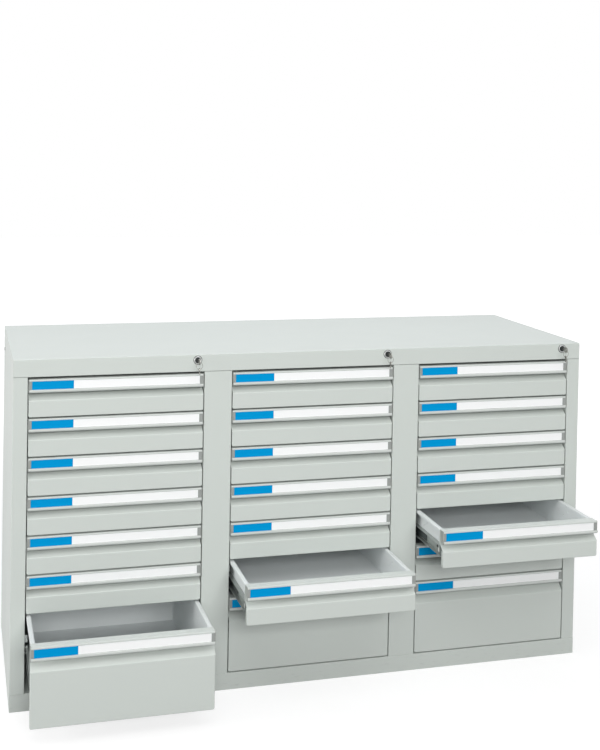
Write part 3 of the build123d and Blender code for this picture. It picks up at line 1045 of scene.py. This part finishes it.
def core_mesh():
    """The core, with a rim round its face. Its dark colour is partly painted shade and painted dark
    reflection.
    """
    return to_mesh(turned(core_profile), "core_face", dark_core_and_painted_shade, smooth=True)


def key_blank(root, shank_length, bow, shank, hole):
    """A key on its side in the Y-Z plane: a bow with a hole, and a shank that ends at root."""
    half = bow / 2
    bow_middle = root - shank_length - half
    turns = [pi - bow_step * step for step in range(bow_points)]
    upper = [(0, bow_middle + half * cos(turn), half * sin(turn) * bow_flatness) for turn in turns]
    upper.append((0, root, shank / 2))
    lower = [(x, y, -z) for x, y, z in reversed(upper[1:])]
    bm = bmesh.new()
    outer = [bm.verts.new(point) for point in upper + lower]
    rim = [bm.edges.new(pair) for pair in zip(outer, outer[1:] + outer[:1])]
    ring = bmesh.ops.create_circle(bm, segments=key_hole_sides, radius=hole)["verts"]
    bmesh.ops.rotate(bm, verts=ring, matrix=Matrix.Rotation(pi / 2, 3, "Y"))
    bmesh.ops.translate(bm, verts=ring, vec=(0, bow_middle, 0))
    inner = list({edge for vert in ring for edge in vert.link_edges})
    bmesh.ops.triangle_fill(bm, edges=rim + inner, use_beauty=True)
    middle = Vector((0, bow_middle, 0))
    reach = hole * hole_cover_share
    covering = [face for face in bm.faces if (face.calc_center_median() - middle).length < reach]
    bmesh.ops.delete(bm, geom=covering, context="FACES")
    bmesh.ops.translate(bm, verts=bm.verts, vec=(-key_thickness / 2, 0, 0))
    shift(bm, bmesh.ops.extrude_face_region(bm, geom=bm.faces[:])["geom"], (key_thickness, 0, 0))
    bmesh.ops.recalc_face_normals(bm, faces=bm.faces)
    return bm


def key_mesh():
    """The key that stands in the lock."""
    blank = key_blank(-core_proud, key_shank_length, key_bow, key_shank, key_hole)
    return to_mesh(blank, "key", key_steel)


def spare_key_mesh(bow_middle, ring_bottom):
    """The spare key, which hangs from the ring with its shank down."""
    hole_middle = ring_bottom - spare_hole + ring_wire + ring_play
    shank_length = spare_foot + hole_middle - spare_bow / 2
    root = spare_bow / 2 + shank_length
    bm = key_blank(root, shank_length, spare_bow, spare_shank, spare_hole)
    bmesh.ops.rotate(bm, verts=bm.verts, matrix=Matrix.Rotation(-pi / 2, 3, "X"))
    bmesh.ops.translate(bm, verts=bm.verts, vec=(0, bow_middle, hole_middle))
    bmesh.ops.recalc_face_normals(bm, faces=bm.faces)
    return to_mesh(bm, "spare_key", key_steel)


def ring_mesh(bow_middle, ring_middle):
    """The key ring, which hangs through the hole of the key's bow."""
    bm = bmesh.new()
    section = bmesh.ops.create_circle(bm, segments=ring_sides, radius=ring_wire)["verts"]
    bmesh.ops.translate(bm, verts=section, vec=(ring_radius, 0, 0))
    edges = list({edge for vert in section for edge in vert.link_edges})
    spin_round(bm, section + edges, ring_steps)
    bmesh.ops.rotate(bm, verts=bm.verts, matrix=Matrix.Rotation(ring_turn, 3, "Z"))
    bmesh.ops.translate(bm, verts=bm.verts, vec=(0, bow_middle, ring_middle))
    return to_mesh(bm, "key_ring", key_steel, smooth=True)


def make_locks():
    """Locks, keys, rings and spare keys of all the bays."""
    bow_middle = -core_proud - key_shank_length - key_bow / 2
    ring_middle = -key_hole + ring_wire + ring_play - ring_radius
    pieces = [
        (painted_shade_ring_mesh(), "lock_painted_shade_ring", "cabinet"),
        (collar_mesh(), "lock_collar", "cabinet"),
        (core_mesh(), "lock_face", "lock_core"),
        (key_mesh(), "key", "lock_core"),
        (ring_mesh(bow_middle, ring_middle), "key_ring", "cabinet"),
        (spare_key_mesh(bow_middle, ring_middle - ring_radius), "spare_key", "cabinet"),
    ]
    for bay in bays:
        low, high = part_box(f"drawer_{bay}_1")
        place = ((low.x + high.x) / 2 + lock_x, cabinet_front, lock_z)
        for mesh, name, body in pieces:
            replaced = []
            if name == "lock_collar" and bay == bays[0]:
                replaced = ["lock_housings"]
            if name == "lock_face":
                replaced = [f"lock_core_{bay}"]
            own_body = f"{body}_{bay}" if body == "lock_core" else body
            put(mesh, f"{name}_{bay}", own_body, place, replaced)


def make_plugs():
    """The black plugs in the side panels, near the back of the top."""
    for side, name in ((-1, "left"), (1, "right")):
        bm = turned(side_plug_profile, side_plug_steps)
        bmesh.ops.rotate(bm, verts=bm.verts, matrix=Matrix.Rotation(side * pi / 2, 3, "Z"))
        mesh = to_mesh(bm, "plug", black_plug_and_hole_shade, smooth=True)
        place = (side * cabinet_half, side_plug_y, side_plug_z)
        put(mesh, f"side_plug_{name}", "cabinet", place)


make_drawers()
make_clips()
make_locks()
make_plugs()

# Coatings of the sheets that stay
node_materials = {
    "top_cover": coat,
    "side_panel_left": coat_floor,
    "side_panel_right": coat_floor,
    "bay_divider_left": coat,
    "bay_divider_right": coat,
    "back_panel": coat_floor,
    "base": coat_floor,
    "slide_rails_1": zinc,
    "slide_rails_2": zinc,
    "slide_rails_3": zinc,
    "bar_guides": bar_steel,
    "locking_bar_1": bar_steel,
    "locking_bar_2": bar_steel,
    "locking_bar_3": bar_steel,
}
for name, material in node_materials.items():
    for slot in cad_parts[name].material_slots:
        slot.material = material


# Stage, lights and camera

# The surround and the floor, and the reach in which the floor's shadow fades to white
surround_level = 0.33
floor_half = 14.0
floor_level = 0.36
floor_roughness = 0.9
floor_glow = 0.74
shadow_reach = (1.3, 3.5)


def seen_directly(tree):
    """How far a ray is a camera, glossy or transmission ray, from 0 to 1."""
    path = add_node(tree, "ShaderNodeLightPath")
    total = None
    for ray in ("Is Camera Ray", "Is Glossy Ray", "Is Transmission Ray"):
        if total is None:
            total = path.outputs[ray]
            continue
        more = add_node(tree, "ShaderNodeMath", operation="ADD", use_clamp=True)
        tree.links.new(total, more.inputs[0])
        tree.links.new(path.outputs[ray], more.inputs[1])
        total = more.outputs[0]
    return total


def make_floor():
    """A plain floor, white where it is seen directly, that keeps the cabinet's soft shadow."""
    bm = bmesh.new()
    bmesh.ops.create_grid(bm, x_segments=1, y_segments=1, size=floor_half)
    mesh = bpy.data.meshes.new("floor")
    bm.to_mesh(mesh)
    bm.free()
    material = bpy.data.materials.new("Pale floor")
    material.use_nodes = True
    tree = material.node_tree
    shader = tree.nodes["Principled BSDF"]
    shader.inputs["Base Color"].default_value = (floor_level, floor_level, floor_level, 1)
    shader.inputs["Roughness"].default_value = floor_roughness
    shader.inputs["Specular IOR Level"].default_value = 0.0
    shader.inputs["Emission Color"].default_value = (1, 1, 1, 1)
    place = add_node(tree, "ShaderNodeTexCoord")
    reach = add_node(tree, "ShaderNodeVectorMath", operation="LENGTH")
    fade = add_node(tree, "ShaderNodeMapRange", interpolation_type="SMOOTHSTEP")
    fade.inputs["From Min"].default_value = shadow_reach[0]
    fade.inputs["From Max"].default_value = shadow_reach[1]
    fade.inputs["To Min"].default_value = floor_glow
    fade.inputs["To Max"].default_value = 1.0
    glow = add_node(tree, "ShaderNodeMath", operation="MULTIPLY")
    tree.links.new(place.outputs["Object"], reach.inputs[0])
    tree.links.new(reach.outputs["Value"], fade.inputs["Value"])
    tree.links.new(fade.outputs[0], glow.inputs[0])
    tree.links.new(seen_directly(tree), glow.inputs[1])
    tree.links.new(glow.outputs[0], shader.inputs["Emission Strength"])
    mesh.materials.append(material)
    floor = bpy.data.objects.new("floor", mesh)
    bpy.context.scene.collection.objects.link(floor)


def area_lamp(name, place, target, size, power, color):
    """A soft rectangular lamp that faces a point."""
    data = bpy.data.lights.new(name, "AREA")
    data.shape = "RECTANGLE"
    data.size, data.size_y = size
    data.energy = power
    data.color = color
    lamp = bpy.data.objects.new(name, data)
    lamp.location = place
    lamp.rotation_euler = (Vector(target) - Vector(place)).to_track_quat("-Z", "Y").to_euler()
    bpy.context.scene.collection.objects.link(lamp)


def make_world(strength):
    """An even surround, plain white where it is seen directly."""
    world = bpy.data.worlds.new("studio")
    bpy.context.scene.world = world
    world.use_nodes = True
    tree = world.node_tree
    shade = tree.nodes["Background"]
    shade.inputs["Color"].default_value = (1, 1, 1, 1)
    level = add_node(tree, "ShaderNodeMapRange")
    level.inputs["To Min"].default_value = strength
    level.inputs["To Max"].default_value = 1.0
    tree.links.new(seen_directly(tree), level.inputs["Value"])
    tree.links.new(level.outputs[0], shade.inputs["Strength"])


# The camera stands left of the cabinet, above it and turned to the right
image_height = 750
focal_px = 1214.2
axis_row_px = 170.75
camera_place = (-0.8815, -3.2336, 1.3769)
camera_yaw = radians(15.73)
camera_pitch = radians(-1.26)
camera_roll = radians(1.02)
sensor = 36.0


def make_camera():
    """The camera at the photograph's place, with the vertical shift that its framing needs."""
    data = bpy.data.cameras.new("camera")
    data.sensor_width = sensor
    data.lens = focal_px * sensor / image_height
    data.shift_y = (axis_row_px - image_height / 2) / image_height
    level = cos(camera_pitch)
    forward = Vector((sin(camera_yaw) * level, cos(camera_yaw) * level, sin(camera_pitch)))
    level_right = Vector((cos(camera_yaw), -sin(camera_yaw), 0))
    level_up = level_right.cross(forward)
    right = level_right * cos(camera_roll) + level_up * sin(camera_roll)
    up = level_up * cos(camera_roll) - level_right * sin(camera_roll)
    camera = bpy.data.objects.new("camera", data)
    turn = Matrix((right, up, -forward)).transposed().to_4x4()
    camera.matrix_world = Matrix.Translation(camera_place) @ turn
    bpy.context.scene.collection.objects.link(camera)
    bpy.context.scene.camera = camera


# Lamps, each with its name, place, the point that it faces, size, power and colour
lamps = (
    ("front", (-0.3, -7.0, 3.1), (0, 0, 0.35), (4.0, 1.6), 230, (1, 1, 1)),
    ("key", (-0.1, -2.3, 3.3), (0, 0, 0.6), (3.2, 1.8), 33, (0.99, 1.0, 1.0)),
    ("top", (0, 0.5, 3.4), (0, 0.2, 0.85), (3.0, 1.2), 29, (0.95, 0.98, 1.06)),
    ("left", (-3.8, -0.8, 1.5), (-0.7, 0, 0.5), (2.4, 2.4), 54, (1, 1, 1)),
)

make_floor()
make_world(surround_level)
for lamp in lamps:
    area_lamp(*lamp)
make_camera()
bpy.context.scene.view_settings.view_transform = "Standard"
